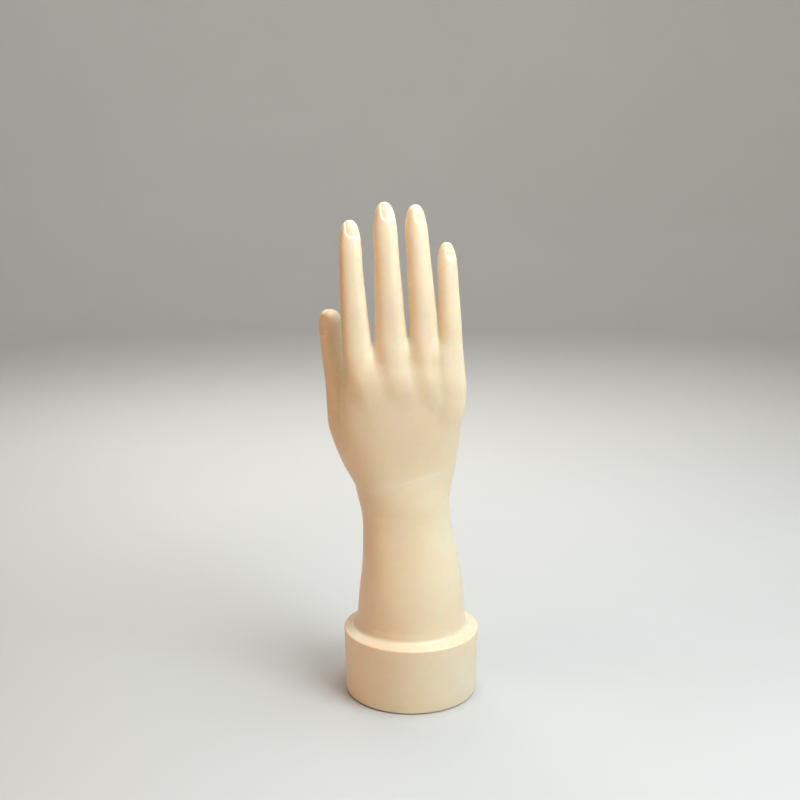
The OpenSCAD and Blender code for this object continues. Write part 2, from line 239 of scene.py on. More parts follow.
def finger_field(f, p):
    x, y, z = p
    _, drop, length, _, _, width, facing, _ = f
    half = FINGER_W * width / 2
    tip_l = TIP_SHARE * FINGER_W * width
    cap_z = KNUCKLE_Z - drop + length - tip_l
    t, cx, cy = finger_spine(f, np.minimum(z, cap_z + 0.6 * tip_l))
    shaft_t = np.minimum(t, (length - tip_l) / length)
    a = half * curve(WIDTH_ALONG, shaft_t)
    b = half * curve(DEPTH_ALONG, shaft_t) * FLATNESS
    turn = math.radians(facing)
    dx, dy = x - cx, y - cy
    across = dx * math.cos(turn) + dy * math.sin(turn)
    inward = dy * math.cos(turn) - dx * math.sin(turn)
    # The pad side is rounder than the back.
    b = b * np.where(inward > 0, PAD_FULLNESS, 1.0)
    power = np.where(inward > 0, 2.0, 2.3)
    foot_z = KNUCKLE_Z - drop - RIDGE_L
    tip = capped_field(across, inward, z - cap_z, a, b, tip_l, power, TIP_BLUNT)
    ridge = capped_field(across, inward, foot_z - z, a, b, RIDGE_END, power)
    return np.where(z < foot_z, ridge, tip)


# Top of each web between two fingers: across and up.
WEBS = [(-21.7, 221.8), (-1.1, 226.0), (17.5, 226.8)]
WEB_RADII = (6.0, 8.5, 15.0)


def web_field(web, p):
    x, y, z = p
    place = (x - web[0], y - PALM_Y - ROOT_Y, z - web[1] + WEB_RADII[2])
    return ball_field(*place, *WEB_RADII)


THUMB_UP, THUMB_L, THUMB_TIP = 16.0, 107.0, 11.0
THUMB_BLUNT, THUMB_ROOT = 2.6, 14.0
# Thumb from the heel of the hand to its tip: share of its length, then centre across and
# behind the wrist's centre, half depth along X and half width along Y.
THUMB = [
    (0.00, -18.2, 5.0, 8.5, 10.0),
    (0.10, -25.3, 8.0, 11.0, 11.5),
    (0.22, -31.4, 10.5, 12.6, 12.0),
    (0.32, -35.8, 12.5, 12.5, 11.6),
    (0.42, -38.4, 14.2, 11.0, 10.8),
    (0.55, -41.3, 15.8, 8.9, 9.6),
    (0.68, -44.2, 17.2, 7.6, 8.8),
    (0.82, -46.4, 18.2, 7.2, 8.6),
    (1.00, -47.6, 18.4, 7.2, 8.4),
]


def thumb_section(t):
    columns = [[(row[0], row[i]) for row in THUMB] for i in range(1, 5)]
    cx, cy, a, b = (curve(c, t) for c in columns)
    return WRIST_X + cx, cy, a, b


def thumb_field(p):
    x, y, z = p
    base = WRIST_Z + THUMB_UP
    cap_z = base + THUMB_L - THUMB_TIP
    t = (np.minimum(z, cap_z + 0.5 * THUMB_TIP) - base) / THUMB_L
    cx, cy, a, b = thumb_section(t)
    dx, dy = x - cx, y - cy
    tip = capped_field(dx, dy, z - cap_z, a, b, THUMB_TIP, 2.0, THUMB_BLUNT)
    root = capped_field(dx, dy, base - z, a, b, THUMB_ROOT)
    return np.where(z < base, root, tip)


def bump_field(p, centre, radii):
    x, y, z = p
    return ball_field(x - centre[0], y - centre[1], z - centre[2], *radii)


# Each nail: centre across and up, width, length, how far it faces round to the right in
# degrees, how far it leans back, and how deep it lies.
NAILS = {
    "index": (-35.9, 291.6, 8.0, 10.6, 7.0, 12.0, 0.46),
    "middle": (-14.6, 301.4, 8.2, 10.4, 5.0, 12.0, 0.5),
    "ring": (3.9, 300.0, 7.2, 10.0, 14.0, 12.0, 0.46),
    "little": (22.0, 278.3, 6.2, 8.8, 13.0, 12.0, 0.42),
    "thumb": (-54.0, 231.4, 9.8, 13.0, -52.0, 6.0, 1.0),
}
# Width of the step round a nail, height and width of the fold below it, and its arch.
NAIL_EDGE, NAIL_FOLD, NAIL_FOLD_W, NAIL_ARCH = 0.6, 0.16, 1.3, 0.12


def nail_frame(name):
    """Middle of the digit behind a nail, and the nail's across, along and outward axes."""
    x, z, _, _, turn, lean, _ = NAILS[name]
    if name == "thumb":
        t = (z - WRIST_Z - THUMB_UP) / THUMB_L
        cx, cy = thumb_section(np.array([t]))[:2]
        middle = np.array([cx[0], cy[0], z])
    else:
        _, cx, cy = finger_spine(FINGERS[name], np.array([z]))
        middle = np.array([x, cy[0], z])
    a, b = math.radians(turn), math.radians(lean)
    across = np.array([math.cos(a), math.sin(a), 0.0])
    out = np.array([math.sin(a) * math.cos(b), -math.cos(a) * math.cos(b), math.sin(b)])
    along = np.cross(out, across)
    along = along if along[2] > 0 else -along
    return middle, across, along, out


def nail_depth(name, p):
    """How far the surface is sunk at p: a plate with soft edges and a fold round it."""
    _, _, width, length, _, _, depth = NAILS[name]
    middle, across, along, out = nail_frame(name)
    d = np.stack([p[i] - middle[i] for i in range(3)])
    u = np.tensordot(across, d, 1) / (width / 2)
    v = np.tensordot(along, d, 1) / (length / 2)
    front = smooth((np.tensordot(out, d, 1) - 1.0) / 1.5)
    # The root is rounded, the sides run straight, and the plate runs out over the tip.
    power = np.where(v > 0, 4.0, 2.6)
    q = (np.abs(u) ** power + np.abs(v) ** power + 1e-9) ** (1 / power)
    inward = (1 - q) * width / 2
    plate = smooth(inward / NAIL_EDGE + 0.5) * smooth((1.0 - v) / 0.45)
    fold = np.exp(-(((inward + NAIL_FOLD_W) / NAIL_FOLD_W) ** 2)) * smooth((0.1 - v) / 0.7)
    arch = 1.0 - np.clip(u, -1.0, 1.0) ** 2
    return front * (plate * (depth - NAIL_ARCH * arch) - NAIL_FOLD * fold)


# Centre and radii of the pad at the heel of the hand and of the hollow of the palm.
HEEL = ((15.0, 4.0, WRIST_Z + 42), (13.0, 13.0, 32.0))
PALM_HOLLOW = ((-6.0, 28.5, KNUCKLE_Z - 31), (22.0, 15.0, 32.0))


# Fillets between fingers, round the webs, over the heel, at the knuckles and in the palm's
# hollow, and of the thumb's root, which narrows from the wrist up to where the thumb parts.
FINGER_BLEND, WEB_BLEND, HEEL_BLEND, KNUCKLE_BLEND, HOLLOW_BLEND = 1.6, 4.5, 8.0, 6.0, 6.0
THUMB_BLEND = (13.0, 4.0)
THUMB_BLEND_FROM, THUMB_BLEND_OVER = WRIST_Z + 35.0, 45.0


def arm_field(p):
    """Negative inside the hand and forearm, zero on their outer surface."""
    z = p[2]
    fingers = [finger_field(f, p) for f in FINGERS.values()]
    hand = fingers[0]
    for other in fingers[1:]:
        hand = join(hand, other, FINGER_BLEND)
    for web in WEBS:
        hand = join(hand, web_field(web, p), WEB_BLEND)
    palm = join(trunk_field(p), bump_field(p, *HEEL), HEEL_BLEND)
    body = join(palm, hand, KNUCKLE_BLEND)
    k = mix(*THUMB_BLEND, smooth((z - THUMB_BLEND_FROM) / THUMB_BLEND_OVER))
    body = join(thumb_field(p), body, k)
    return carve(body, bump_field(p, *PALM_HOLLOW), HOLLOW_BLEND)


def skin_field(p):
    """The arm with its nails."""
    field = arm_field(p)
    near = np.abs(field) < 3.0
    spot = tuple(c[near] for c in p)
    relief = np.zeros_like(field)
    relief[near] = sum(nail_depth(name, spot) for name in NAILS)
    return field + relief


# ---------------------------------------------------------------- turning a field into a mesh


def surface_net(field, low, high, step):
    """Corners and quads on a field's zero level, one corner in each grid cell it crosses."""
    axes = [np.arange(low[i], high[i] + step, step) for i in range(3)]
    grid = np.meshgrid(*axes, indexing="ij")
    value = field(tuple(grid))
    inside = value < 0
    shape = np.array(value.shape) - 1
    total = np.zeros((3, *shape))
    crossings = np.zeros(shape)
    for axis in range(3):
        first, second = [i for i in range(3) if i != axis]
        for corner in ((0, 0), (0, 1), (1, 0), (1, 1)):
            offset = [0, 0, 0]
            offset[first], offset[second] = corner
            near = tuple(slice(o, o + n) for o, n in zip(offset, shape))
            offset[axis] = 1
            far = tuple(slice(o, o + n) for o, n in zip(offset, shape))
            crossed = inside[near] != inside[far]
            gap = np.where(crossed, value[far] - value[near], 1.0)
            share = np.where(crossed, -value[near] / gap, 0.0)
            for i in range(3):
                place = grid[i][near] + (share * step if i == axis else 0.0)
                total[i] += np.where(crossed, place, 0.0)
            crossings += crossed
    used = crossings > 0
    index = np.full(tuple(shape), -1)
    index[used] = np.arange(used.sum())
    points = (total[:, used] / crossings[used]).T
    return points, net_quads(inside, index, shape)


def net_quads(inside, index, shape):
    """A quad round each grid edge whose ends lie on different sides."""
    quads = []
    for axis in range(3):
        u, v = [i for i in range(3) if i != axis]
        near = [slice(1, n) for n in shape]
        near[axis] = slice(0, shape[axis])
        far = list(near)
        far[axis] = slice(1, shape[axis] + 1)
        a, b = inside[tuple(near)], inside[tuple(far)]
        at = np.argwhere(a != b)
        at[:, u] += 1
        at[:, v] += 1
        ring = []
        for du, dv in ((-1, -1), (0, -1), (0, 0), (-1, 0)):
            cell = at.copy()
            cell[:, u] += du
            cell[:, v] += dv
            ring.append(index[tuple(cell.T)])
        ring = np.stack(ring, axis=1)
        turn = b[a != b] if axis != 1 else a[a != b]
        ring[turn] = ring[turn][:, ::-1]
        quads.append(ring)
    return np.concatenate(quads)


def gradient(field, points, step=0.05):
    """Value and slope of the field at each point."""
    slope = np.empty_like(points)
    for i in range(3):
        ahead = points.copy()
        behind = points.copy()
        ahead[:, i] += step
        behind[:, i] -= step
        slope[:, i] = (field(tuple(ahead.T)) - field(tuple(behind.T))) / (2 * step)
    return field(tuple(points.T)), slope


def settle(field, points, held=None, rounds=3, reach=0.8):
    """Points moved down the field's slope to its zero level. Held points stay level."""
    points = points.copy()
    for _ in range(rounds):
        value, slope = gradient(field, points)
        if held is not None:
            slope[held, 2] = 0.0
        size = np.maximum((slope**2).sum(axis=1), 0.05)
        move = slope * (value / size)[:, None]
        length = np.linalg.norm(move, axis=1)
        move *= np.minimum(1.0, reach / np.maximum(length, 1e-9))[:, None]
        points -= move
    return points


def neighbours(quads):
    edges = np.concatenate([quads[:, [i, (i + 1) % 4]] for i in range(4)])
    return np.unique(np.sort(edges, axis=1), axis=0)


def evened(field, points, quads, held, rounds=4, share=0.5):
    """Points slid along the surface towards the middle of their neighbours."""
    edges = neighbours(quads)
    both = held[edges[:, 0]] & held[edges[:, 1]]
    free = ~held[edges]
    # A held point follows only its neighbours along the rim.
    pull_a = free[:, 0] | both
    pull_b = free[:, 1] | both
    for _ in range(rounds):
        total = np.zeros_like(points)
        count = np.zeros(len(points))
        for pull, me, other in ((pull_a, 0, 1), (pull_b, 1, 0)):
            mine, theirs = edges[pull, me], edges[pull, other]
            count += np.bincount(mine, minlength=len(points))
            for i in range(3):
                total[:, i] += np.bincount(mine, points[theirs, i], len(points))
        middle = total / np.maximum(count, 1)[:, None]
        middle[held, 2] = points[held, 2]
        points = settle(field, mix(points, middle, share), held, 1)
    return settle(field, points, held, 2)


def rim_of(quads):
    """The corners round the open edge, in order."""
    directed = np.concatenate([quads[:, [i, (i + 1) % 4]] for i in range(4)])
    pairs = set(map(tuple, directed.tolist()))
    after = {a: b for a, b in pairs if (b, a) not in pairs}
    start = next(iter(after))
    rim = [start]
    while after[rim[-1]] != start:
        rim.append(after[rim[-1]])
    return rim


def mesh_object(name, points, faces, corner=None):
    """A smooth-shaded object from points in millimetres. Edges over corner degrees stay sharp."""
    mesh = bpy.data.meshes.new(name)
    mesh.from_pydata((np.asarray(points) * MM).tolist(), [], [list(map(int, f)) for f in faces])
    mesh.validate()
    mesh.shade_smooth()
    if corner is not None:
        mesh.set_sharp_from_angle(angle=math.radians(corner))
    made = bpy.data.objects.new(name, mesh)
    bpy.context.scene.collection.objects.link(made)
    return made


def skinned(rings, closed=True):
    """Points and quads through a list of rings; closed joins the last to the first."""
    count = len(rings[0])
    points = np.concatenate(rings)
    last = len(rings) if closed else len(rings) - 1
    faces = []
    for j in range(last):
        a, b = j * count, (j + 1) % len(rings) * count
        faces += [
            (a + i, a + (i + 1) % count, b + (i + 1) % count, b + i) for i in range(count)
        ]
    return points, faces


def lathe(name, profile, segments=256, at=(0.0, 0.0)):
    """A solid of revolution from a closed profile of (radius, height)."""
    angle = np.arange(segments) * 2 * math.pi / segments
    rings = [
        np.stack([at[0] + r * np.cos(angle), at[1] + r * np.sin(angle), np.full(segments, z)], 1)
        for r, z in profile
    ]
    return mesh_object(name, *skinned(rings), corner=35)


def arc(centre, radius, start, end, count=6):
    """Points of an arc in a profile, with its angles in degrees."""
    angles = np.radians(np.linspace(start, end, count + 1))
    return [(centre[0] + radius * math.cos(a), centre[1] + radius * math.sin(a)) for a in angles]


# ---------------------------------------------------------------- hand and forearm

SEAM_GROOVE, SEAM_LIP, SEAM_GAP = 0.02, 0.06, 0.005


def seam_rise(x):
    """Height of the wrist joint's plane at x, above its height at the wrist's middle."""
    return SEAM_SLOPE * (x - WRIST_X)


def leaned(p):
    """A point of the space in which the wrist joint lies level, in true coordinates."""
    x, y, z = p
    return x, y, z + seam_rise(x)


def upright(points):
    return np.stack(leaned(tuple(points.T)), axis=1)


def leaned_field(p):
    return skin_field(leaned(p))


def inward_of(rim):
    """Unit steps that point into a ring, level, at each of its points."""
    along = np.roll(rim, -1, axis=0) - np.roll(rim, 1, axis=0)
    step = np.stack([-along[:, 1], along[:, 0], np.zeros(len(rim))], axis=1)
    step /= np.linalg.norm(step, axis=1)[:, None]
    middle = rim.mean(axis=0) - rim
    return step * np.sign((step * middle).sum(axis=1))[:, None]


def lip_rings(rim, side):
    """Rings from a rim over its small chamfer to the inside edge; side is 1 above the joint."""
    inward = inward_of(rim)
    level = rim.copy()
    rings = []
    for drop, depth in ((0.55, 0.0), (0.9, 0.35), (1.0, 1.0)):
        ring = settle(leaned_field, level, np.ones(len(rim), bool)) if depth == 0 else level
        ring = ring + inward * depth * SEAM_GROOVE
        ring[:, 2] = SEAM_Z + side * (SEAM_GAP + (1 - drop) * SEAM_LIP)
        rings.append(ring)
    inner = rings[-1] + inward * WALL
    return [*rings, inner]


def hollow_ring(rim_angle, z, inset):
    """A ring of the hollow's wall at the given angles round the trunk."""
    cx, cy, a, b, power = (float(v) for v in trunk_section(np.array(float(z))))
    c, s = np.cos(rim_angle), np.sin(rim_angle)
    a, b = a - inset, b - inset
    reach = (np.abs(c / a) ** power + np.abs(s / b) ** power) ** (-1 / power)
    return np.stack([cx + reach * c, cy + reach * s, np.full(len(c), float(z))], axis=1)


# Margin round a nail that is cut finer, and cuts in each edge there.
NAIL_MARGIN, NAIL_CUTS = 1.6, 2


def refine_nails(piece):
    """Cuts the faces round each nail finer and settles them on the skin again."""
    grown = bmesh.new()
    grown.from_mesh(piece.data)
    centres = np.array([face.calc_center_median()[:] for face in grown.faces]) / MM
    near = np.zeros(len(centres), bool)
    for name in NAILS:
        width, length = NAILS[name][2:4]
        middle, across, along, out = nail_frame(name)
        d = centres - middle
        inside = (np.abs(d @ across) < width / 2 + NAIL_MARGIN) & (d @ out > 0.0)
        near |= inside & (np.abs(d @ along) < length / 2 + NAIL_MARGIN)
    edges = {edge for face, use in zip(grown.faces, near) if use for edge in face.edges}
    before = len(grown.verts)
    bmesh.ops.subdivide_edges(grown, edges=list(edges), cuts=NAIL_CUTS, use_grid_fill=True)
    grown.verts.ensure_lookup_table()
    moved = {v for edge in edges if edge.is_valid for v in edge.verts}
    moved |= set(grown.verts[before:])
    moved = list(moved)
    places = np.array([v.co[:] for v in moved]) / MM
    for v, place in zip(moved, settle(skin_field, places) * MM):
        v.co = place
    grown.to_mesh(piece.data)
    grown.free()


# Level box that holds the hand in the leaned space, above the wrist joint.
HAND_LOW = (-62.0, -24.0, SEAM_Z + SEAM_GAP + SEAM_LIP)
HAND_HIGH = (36.0, 32.0, 322.0)
# Extra wall in the palm, and the hollow's height below the knuckles and its domed end.
PALM_EXTRA = 4.5
HOLLOW_DROP, HOLLOW_DOME = 24.0, 12.0


def build_hand(step=0.9):
    low, high = HAND_LOW, HAND_HIGH
    points, quads = surface_net(leaned_field, low, high, step)
    rim = rim_of(quads)
    held = np.zeros(len(points), bool)
    held[rim] = True
    points[rim, 2] = low[2]
    points = settle(leaned_field, points, held)
    points = evened(leaned_field, points, quads, held)
    edge = points[rim]
    rings = [upright(r) for r in lip_rings(edge, 1)]
    angle = np.arctan2(edge[:, 1] - edge[:, 1].mean(), edge[:, 0] - edge[:, 0].mean())
    top = KNUCKLE_Z - HOLLOW_DROP
    for z in np.linspace(SEAM_Z + 14.0, top, 9):
        rings.append(hollow_ring(angle, z, WALL + PALM_EXTRA * smooth((z - SEAM_Z - 12) / 16)))
    for share in (0.5, 0.8, 0.95):
        shrink = math.sqrt(1 - share**2)
        ring = hollow_ring(angle, top, WALL + PALM_EXTRA)
        middle = ring.mean(axis=0)
        ring = middle + (ring - middle) * shrink
        ring[:, 2] = top + HOLLOW_DOME * share
        rings.append(ring)
    points = upright(points)
    faces = [tuple(q) for q in quads]
    before = list(rim)
    for ring in rings:
        ids = list(range(len(points), len(points) + len(ring)))
        points = np.concatenate([points, ring])
        count = len(ids)
        faces += [
            (before[(i + 1) % count], before[i], ids[i], ids[(i + 1) % count]) for i in range(count)
        ]
        before = ids
    crown = len(points)
    points = np.concatenate([points, points[before].mean(axis=0)[None] + [[0, 0, 0.4]]])
    faces += [(before[(i + 1) % count], before[i], crown) for i in range(count)]
    hand = mesh_object("hand", points, faces)
    refine_nails(hand)
    return hand


def settled_ring(angle, height):
    """A ring on the arm's surface; height gives z for each x, or is one number."""
    z0 = np.mean(height(np.zeros(1)))
    ring = hollow_ring(angle, z0, 0.0)
    for _ in range(6):
        ring[:, 2] = height(ring[:, 0])
        value, slope = gradient(arm_field, ring)
        slope[:, 2] = 0.0
        size = np.maximum((slope**2).sum(axis=1), 0.05)
        ring -= slope * (value / size)[:, None]
    ring[:, 2] = height(ring[:, 0])
    return ring


# Chamfer and height of the foot's blend into the ledge, and its open mouth underneath.
FOOT_LIP, FOOT_BLEND, FOOT_EDGE = 0.12, 3.4, 0.35
MOUTH_STEP, MOUTH_H = 2.0, 9.0


def build_forearm(count=192, step=1.1):
    angle = np.arange(count) * 2 * math.pi / count
    circle = np.stack([np.cos(angle), np.sin(angle)], axis=1)

    def round_ring(r, z):
        return np.concatenate([circle * r, np.full((count, 1), z)], axis=1)

    mouth_r = FOOT_R - WALL - MOUTH_STEP
    edge = FOOT_EDGE
    rings = [round_ring(mouth_r, FOOT_Z + MOUTH_H), round_ring(mouth_r, FOOT_Z)]
    rings += [round_ring(r, z) for r, z in arc((FLANGE_R - edge, FOOT_Z + edge), edge, -90, 0, 3)]
    lip = FOOT_LIP
    rings += [round_ring(r, z) for r, z in arc((FLANGE_R - lip, LEDGE_Z - lip), lip, 0, 75, 3)]
    # The blend into the ledge is taller than it is wide.
    for turn in np.radians(np.linspace(4, 90, 10)):
        out, up = FOOT_FILLET * (1 - math.sin(turn)), FOOT_BLEND * (1 - math.cos(turn))
        rings.append(round_ring(FOOT_R + out, LEDGE_Z + up))
    low = LEDGE_Z + FOOT_BLEND
    top = SEAM_Z - SEAM_GAP - SEAM_LIP
    rows = int((top - low) / step)
    for row in range(1, rows + 1):
        share = row / rows
        rings.append(settled_ring(angle, lambda x, s=share: mix(low, top + seam_rise(x), s)))
    rim = rings[-1].copy()
    rim[:, 2] -= seam_rise(rim[:, 0])
    rings += [upright(r) for r in lip_rings(rim, -1)]
    for share in np.linspace(0.97, 0.0, 16):
        z = mix(FOOT_Z + MOUTH_H, SEAM_Z, share)
        ring = hollow_ring(angle, z, WALL)
        ring[:, 2] += seam_rise(ring[:, 0]) * share
        rings.append(ring)
    return mesh_object("forearm", *skinned(rings))


SLEEVE_H, SLEEVE_T, FIT_GAP = 24.0, 2.4, 0.2


def build_sleeve(count=96, steps=12, round_off=0.4):
    """The glued tube inside the wrist, which follows the hollow it sits in."""
    angle = np.arange(count) * 2 * math.pi / count
    inset = WALL + FIT_GAP
    low, high = SEAM_Z - SLEEVE_H / 2, SEAM_Z + SLEEVE_H / 2
    heights = np.linspace(low + round_off, high - round_off, steps)
    rings = [hollow_ring(angle, low, inset + round_off)]
    rings += [hollow_ring(angle, z, inset) for z in heights]
    rings += [hollow_ring(angle, high, inset + round_off)]
    rings += [hollow_ring(angle, high, inset + SLEEVE_T - round_off)]
    rings += [hollow_ring(angle, z, inset + SLEEVE_T) for z in heights[::-1]]
    rings += [hollow_ring(angle, low, inset + SLEEVE_T - round_off)]
    return mesh_object("wrist_sleeve_tube", *skinned(rings), corner=35)


# ---------------------------------------------------------------- base

BASE_H, BASE_DRAFT, BASE_WALL = 42.0, 2.6, 3.4
RECESS_DEPTH, DECK_T = 3.0, 4.0
EDGE_Z, RIM_ROUND, LIP_ROUND = 0.5, 1.0, 0.25
RECESS_GAP = 0.12
BOTTOM_R = BASE_R - BASE_DRAFT / 2
CAVITY_R = BOTTOM_R - BASE_WALL
RECESS_Z = LEDGE_Z - RECESS_DEPTH
DECK_Z = RECESS_Z - DECK_T
GLIDE_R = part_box("pivot_bush")[1].x / MM
GLIDE_T, BUSH_STEP, BOSS_STEP = 1.3, 8.0, 4.0
BUSH_R = GLIDE_R - BUSH_STEP
BOSS_R = BUSH_R + BOSS_STEP
BOSS_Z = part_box("wave_washer")[1].z / MM
BALLAST_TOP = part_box("ballast_ring")[1].z / MM
POST_R, HOLE_R, HOLE_DEPTH = 5.0, 2.05, 12.0
POST_AT = (BOSS_R + 1.5 + CAVITY_R - 1.0) / 2
POST_ANGLES = (90.0, 210.0, 330.0)
INSIDE_ROUND = 1.2


def build_base():
    """The turned shell: rim, sloping ledge, recess for the foot, bush seat and boss."""
    seat_z = FOOT_Z - GLIDE_T - 0.05
    recess_r = FLANGE_R + RECESS_GAP
    corner = INSIDE_ROUND
    profile = arc((BOTTOM_R - RIM_ROUND, EDGE_Z + RIM_ROUND), RIM_ROUND, -90, 0, 8)
    low, high = EDGE_Z + RIM_ROUND, BASE_H - RIM_ROUND
    profile += [(mix(BOTTOM_R, BASE_R, t), mix(low, high, t)) for t in (0.2, 0.4, 0.6, 0.8)]
    profile += arc((BASE_R - RIM_ROUND, BASE_H - RIM_ROUND), RIM_ROUND, 0, 75, 8)
    profile += arc((recess_r + LIP_ROUND, LEDGE_Z - LIP_ROUND), LIP_ROUND, 75, 180, 6)
    profile += [(recess_r, RECESS_Z), (GLIDE_R + FIT_GAP, RECESS_Z), (GLIDE_R + FIT_GAP, seat_z)]
    profile += [(BUSH_R, seat_z), (BUSH_R, BOSS_Z)]
    profile += arc((BOSS_R - 0.4, BOSS_Z + 0.4), 0.4, -90, 0, 3)
    profile += arc((BOSS_R + corner, DECK_Z - corner), corner, 180, 90, 5)
    profile += arc((CAVITY_R - corner, DECK_Z - corner), corner, 90, 0, 5)
    profile += [(CAVITY_R, EDGE_Z + 0.4), (CAVITY_R + 0.4, EDGE_Z)]
    return lathe("base_body", profile)


def build_posts():
    """Three screw posts that hang from the deck, each with its blind hole."""
    profile = arc((POST_R - 0.4, BALLAST_TOP + 0.4), 0.4, -90, 0, 3)
    profile += [(POST_R, DECK_Z - 1.2), (POST_R + 1.2, DECK_Z + 0.02)]
    profile += [(0.02, DECK_Z + 0.02), (0.02, BALLAST_TOP + HOLE_DEPTH + 1.0)]
    profile += [(HOLE_R, BALLAST_TOP + HOLE_DEPTH), (HOLE_R, BALLAST_TOP + 0.4)]
    profile += [(HOLE_R + 0.4, BALLAST_TOP)]
    posts = []
    for turn in POST_ANGLES:
        a = math.radians(turn)
        at = (POST_AT * math.cos(a), POST_AT * math.sin(a))
        posts.append(lathe(f"screw_post_{int(turn)}", profile, 48, at))
    return posts


PAD_T, PAD_EDGE = 2.0, 0.5
RIB_FIRST, RIB_LAST, RIB_COUNT, RIB_DEPTH, RIB_W = 8.0, 34.0, 9, 0.35, 0.7


def build_pad():
    """The rubber pad, with rounded edges and ring grooves in its underside."""
    r = CAVITY_R - FIT_GAP
    profile = [(0.05, PAD_T)]
    profile += arc((r - 0.2, PAD_T - 0.2), 0.2, 90, 0, 3)
    profile += arc((r - PAD_EDGE, PAD_EDGE), PAD_EDGE, 0, -90, 6)
    for ring_r in np.linspace(RIB_LAST, RIB_FIRST, RIB_COUNT):
        for step, depth in ((1.0, 0.0), (0.6, 0.85), (0.0, 1.0), (-0.6, 0.85), (-1.0, 0.0)):
            profile.append((ring_r + step * RIB_W, depth * RIB_DEPTH))
    profile.append((0.05, 0.0))
    return lathe("foot_pad_ribbed", profile[::-1], 192)


def finish_piece(piece, body, material, nodes=()):
    piece.data.materials.clear()
    piece.data.materials.append(material)
    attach(piece, body)
    if nodes:
        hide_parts(*nodes)
    return piece


# ---------------------------------------------------------------- materials


def new_material(name, rough, metallic=0.0, ior=1.5):
    material = bpy.data.materials.new(name)
    material.use_nodes = True
    tree = material.node_tree
    shader = tree.nodes["Principled BSDF"]
    shader.inputs["Roughness"].default_value = rough
    shader.inputs["Metallic"].default_value = metallic
    shader.inputs["IOR"].default_value = ior
    return material, tree, shader


def add_noise(tree, scale, detail=4.0, rough=0.55, stretch=(1, 1, 1)):
    """Noise in the object's own space, finer along an axis with a larger stretch."""
    place = tree.nodes.new("ShaderNodeTexCoord")
    spread = tree.nodes.new("ShaderNodeMapping")
    spread.inputs["Scale"].default_value = stretch
    noise = tree.nodes.new("ShaderNodeTexNoise")
    noise.inputs["Scale"].default_value = scale
    noise.inputs["Detail"].default_value = detail
    noise.inputs["Roughness"].default_value = rough
    tree.links.new(place.outputs["Object"], spread.inputs["Vector"])
    tree.links.new(spread.outputs["Vector"], noise.inputs["Vector"])
    return noise.outputs["Fac"]


def add_ramp(tree, factor, low, high, start=0.3, end=0.7):
    """Colours from low to high as the factor goes from start to end."""
    ramp = tree.nodes.new("ShaderNodeValToRGB")
    ramp.color_ramp.elements[0].position = start
    ramp.color_ramp.elements[0].color = (*low, 1)
    ramp.color_ramp.elements[1].position = end
    ramp.color_ramp.elements[1].color = (*high, 1)
    tree.links.new(factor, ramp.inputs["Fac"])
    return ramp.outputs["Color"]


def add_range(tree, factor, low, high, start=0.3, end=0.7):
    """Numbers from low to high as the factor goes from start to end."""
    spread = tree.nodes.new("ShaderNodeMapRange")
    spread.inputs["From Min"].default_value = start
    spread.inputs["From Max"].default_value = end
    spread.inputs["To Min"].default_value = low
    spread.inputs["To Max"].default_value = high
    tree.links.new(factor, spread.inputs["Value"])
    return spread.outputs["Result"]


def blend_colour(tree, factor, first, second):
    """Goes from the first colour to the second as the factor goes from 0 to 1."""
    node = tree.nodes.new("ShaderNodeMix")
    node.data_type = "RGBA"
    tree.links.new(factor, node.inputs["Factor"])
    for socket, value in ((node.inputs[6], first), (node.inputs[7], second)):
        if isinstance(value, tuple):
            socket.default_value = (*value, 1)
        else:
            tree.links.new(value, socket)
    return node.outputs[2]


def add_bump(tree, shader, layers):
    """Stacks bump layers of (height, strength, distance in metres) on the shader's normal."""
    normal = None
    for height, strength, distance in layers:
        bump = tree.nodes.new("ShaderNodeBump")
        bump.inputs["Strength"].default_value = strength
        bump.inputs["Distance"].default_value = distance
        tree.links.new(height, bump.inputs["Height"])
        if normal is not None:
            tree.links.new(normal, bump.inputs["Normal"])
        normal = bump.outputs["Normal"]
    tree.links.new(normal, shader.inputs["Normal"])


def add_specks(tree, scale, size):
    """1 in small round specks scattered through the object's space, 0 elsewhere."""
    place = tree.nodes.new("ShaderNodeTexCoord")
    cells = tree.nodes.new("ShaderNodeTexVoronoi")
    cells.inputs["Scale"].default_value = scale
    tree.links.new(place.outputs["Object"], cells.inputs["Vector"])
    return add_range(tree, cells.outputs["Distance"], 1.0, 0.0, size * 0.6, size)


def add_math(tree, kind, first, second=None, third=None):
    """A math node on sockets or numbers."""
    node = tree.nodes.new("ShaderNodeMath")
    node.operation = kind
    for socket, value in zip(node.inputs, (first, second, third)):
        if isinstance(value, (int, float)):
            socket.default_value = value
        elif value is not None:
            tree.links.new(value, socket)
    return node.outputs[0]


def place_axes(tree):
    place = tree.nodes.new("ShaderNodeTexCoord")
    split = tree.nodes.new("ShaderNodeSeparateXYZ")
    tree.links.new(place.outputs["Object"], split.inputs["Vector"])
    return split.outputs


def off_seam(tree, axes):
    """Distance in metres above or below the wrist joint's plane."""
    at_zero = (SEAM_Z - SEAM_SLOPE * WRIST_X) * MM
    level = add_math(tree, "MULTIPLY_ADD", axes["X"], SEAM_SLOPE, at_zero)
    return add_math(tree, "ABSOLUTE", add_math(tree, "SUBTRACT", axes["Z"], level))


# The painted highlight along the wrist joint: strength, half width of its core and of its edge,
# and the stretches across the wrist over which it fades in and out.
SEAM_HIGHLIGHT_STRENGTH, SEAM_HIGHLIGHT_CORE, SEAM_HIGHLIGHT_EDGE = 0.22, 0.15 * MM, 0.7 * MM
SEAM_HIGHLIGHT_FADES = ((-14 * MM, 0.0), (23 * MM, 10 * MM))
# Distances from a joint between which light starts and fully spreads inside the plastic.
SCATTER_FROM, SCATTER_TO = 0.3 * MM, 4.0 * MM


